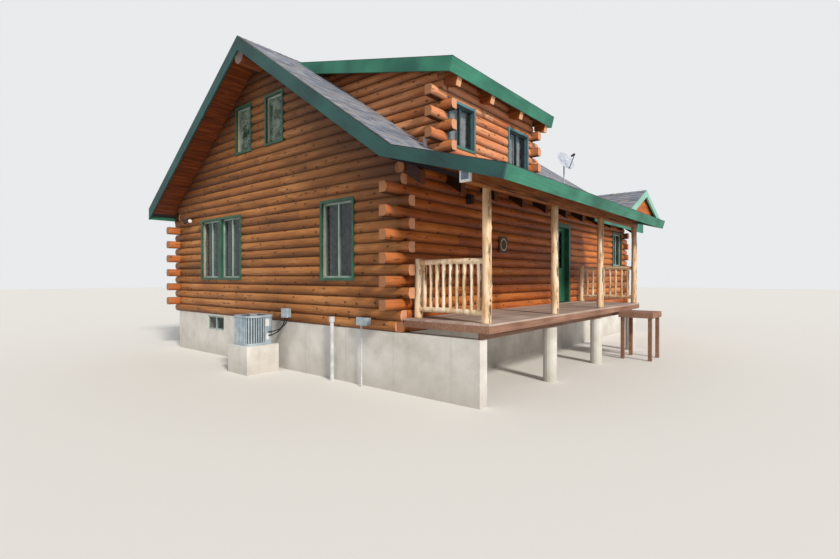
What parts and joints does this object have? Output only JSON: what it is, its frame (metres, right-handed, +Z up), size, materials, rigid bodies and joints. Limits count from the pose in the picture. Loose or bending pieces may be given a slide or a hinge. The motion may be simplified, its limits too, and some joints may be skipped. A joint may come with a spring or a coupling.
{
  "type": "log cabin",
  "caption": "Log cabin with a steep gable roof, a shed dormer, a covered front porch and one hinged front door.",
  "frame": {"origin": "under the near front corner, where the centre lines of the front and near gable foundation walls cross, at ground level", "axes": "+Z up; +X along the ridge away from the near gable wall; +Y from the porch side towards the back"},
  "size_m": [13.3075, 11.2, 7.017],
  "materials": {
    "logs": "satin",
    "concrete": "matte",
    "shingles": "matte",
    "green_trim": "satin",
    "pale_green_trim": "satin",
    "teal_casing": "satin",
    "white_sash": "satin",
    "glazing": "gloss",
    "green_door": "satin",
    "bright_metal": "polished",
    "dark_metal": "satin",
    "stained_wood": "satin",
    "deck_wood": "matte",
    "floor_wood": "satin",
    "peeled_wood": "satin",
    "condenser_metal": "satin",
    "grey_box": "satin",
    "grey_plastic": "matte",
    "black_plastic": "matte",
    "white_metal": "satin",
    "plaque_wood": "satin"
  },
  "bodies": {
    "house": {"back_wall": "logs", "condenser": "condenser_metal", "condenser_footing": "concrete", "condenser_lines": "black_plastic", "deck_boards": "deck_wood", "deck_frame": "deck_wood", "deck_piers": "concrete", "dish_antenna": "white_metal", "door_frame": "teal_casing", "door_hinges": "dark_metal", "dormer_front_wall": "logs", "dormer_rafters": "stained_wood", "dormer_roof": "shingles", "dormer_side_walls": "logs", "dormer_trim": "green_trim", "eave_boards": "green_trim", "entry_gable_boards": "stained_wood", "entry_gable_roof": "shingles", "entry_gable_trim": "pale_green_trim", "entry_step": "deck_wood", "far_gable_top": "logs", "far_gable_wall": "logs", "foundation": "concrete", "front_wall_beside_window": "logs", "front_wall_left": "logs", "front_wall_over_door": "logs", "front_wall_over_window": "logs", "front_wall_right": "logs", "front_wall_under_window": "logs", "loft_floor": "floor_wood", "main_floor": "floor_wood", "main_rafters": "stained_wood", "main_roof_back": "shingles", "main_roof_front": "shingles", "near_gable_jambs": "logs", "near_gable_peak": "logs", "near_gable_sill_logs": "logs", "near_gable_wall": "logs", "outside_lights": "white_metal", "porch_beam": "stained_wood", "porch_fascia": "green_trim", "porch_posts": "peeled_wood", "porch_railings": "peeled_wood", "porch_roof": "shingles", "rake_boards": "green_trim", "ridge_log": "stained_wood", "roof_vent": "white_metal", "wall_boxes": "grey_box", "wall_pipes": "grey_plastic", "wall_plaque": "plaque_wood", "window_casings": "teal_casing", "window_glass": "glazing", "window_sashes": "white_sash"},
    "door": {"door_leaf": "green_door", "door_glass": "glazing", "door_knobs": "bright_metal"}
  },
  "joints": [
    {"name": "front_door", "type": "hinge", "parent": "house", "child": "door", "pos_m": [6.7125, 0.029, 2.2], "axis": [0, 0, -1], "range_deg": [0, 95]}
  ]
}
